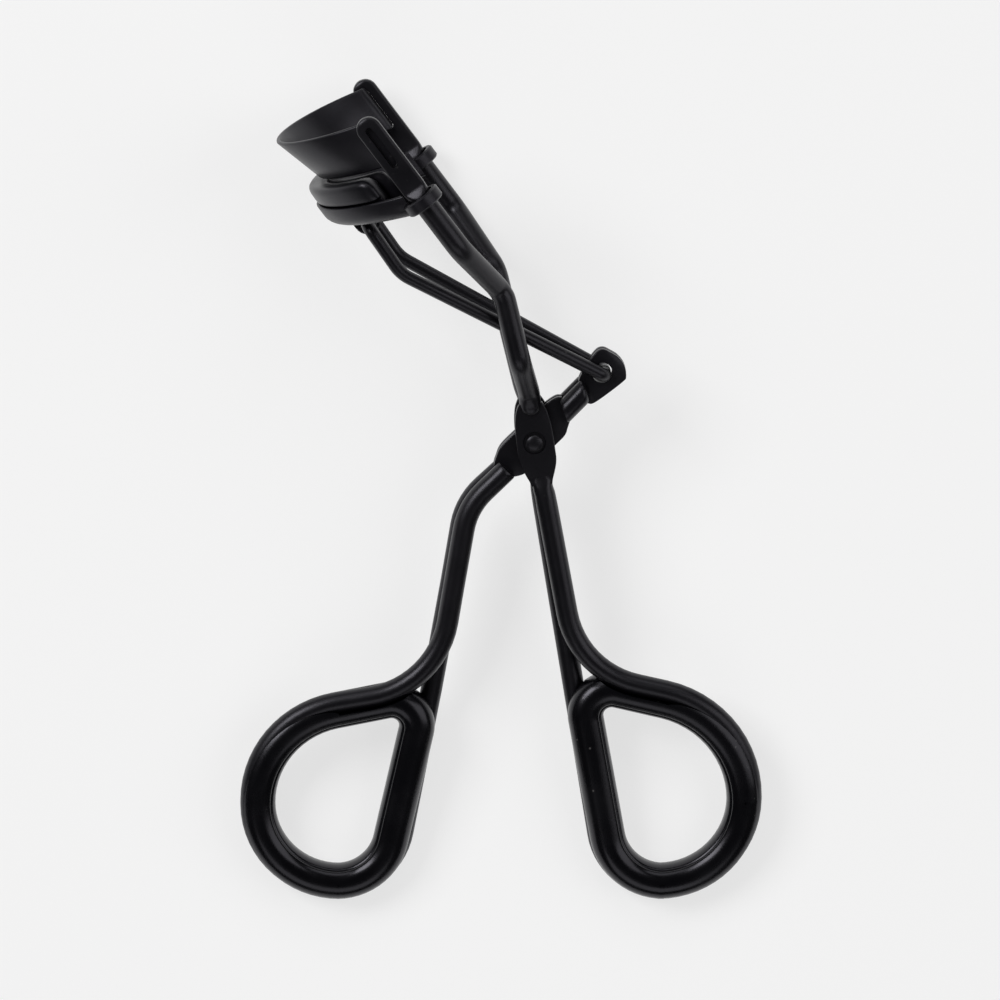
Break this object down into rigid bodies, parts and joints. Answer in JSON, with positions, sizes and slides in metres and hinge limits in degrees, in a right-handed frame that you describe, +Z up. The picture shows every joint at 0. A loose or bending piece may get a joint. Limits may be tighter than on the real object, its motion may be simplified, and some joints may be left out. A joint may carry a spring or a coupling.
{
  "type": "eyelash curler",
  "caption": "Wire-framed eyelash curler with crossed levers, soft finger grips and a sliding jaw whose cushion presses lashes against a fixed curved jaw.",
  "frame": {"origin": "middle of the bounding box, on the surface that the tool lies on", "axes": "+Y runs from the finger loops to the jaws, +X towards the frame lever's loop, +Z up, away from the surface that the tool lies on"},
  "size_m": [0.067, 0.1058, 0.0326],
  "materials": {
    "frame_black": "satin black coating on steel wire",
    "squeeze_black": "satin black coating on steel wire",
    "rivet_black": "satin black coating on a steel rivet",
    "link_black": "satin black coating on steel wire",
    "upper_jaw_black": "satin black coating on sheet steel",
    "lower_jaw_black": "satin black coating on sheet steel",
    "pad_silicone": "matte black silicone",
    "grip_rubber": "smooth, slightly glossy black soft moulding"
  },
  "bodies": {
    "frame": {"frame_lever": "frame_black", "upper_jaw": "upper_jaw_black", "right_grip": "grip_rubber", "pivot_rivet": "rivet_black"},
    "squeeze": {"squeeze_lever": "squeeze_black", "left_grip": "grip_rubber"},
    "jaw": {"lower_jaw": "lower_jaw_black", "lash_pad": "pad_silicone"},
    "link": {"push_link": "link_black"}
  },
  "joints": [
    {"name": "squeeze_hinge", "type": "hinge", "parent": "frame", "child": "squeeze", "pos_m": [0.00398, 0.00704, 0.0112], "axis": [0, -0.1526, 0.9883], "range_deg": [-21.5, 2.3]},
    {"name": "jaw_slide", "type": "slide", "parent": "frame", "child": "jaw", "axis": [-0.599, 0.7914, 0.1222], "range_m": [-0.00461, 0.0005]},
    {"name": "link_hinge", "type": "hinge", "parent": "squeeze", "child": "link", "pos_m": [0.01257, 0.01582, 0.01255], "axis": [0, -0.1526, 0.9883], "range_deg": [-2.4, 21.6]}
  ],
  "couplings": [
    {"joint": "jaw_slide", "follows": "squeeze_hinge", "m_per_rad": 0.01225},
    {"joint": "link_hinge", "follows": "squeeze_hinge", "ratio": -1}
  ]
}
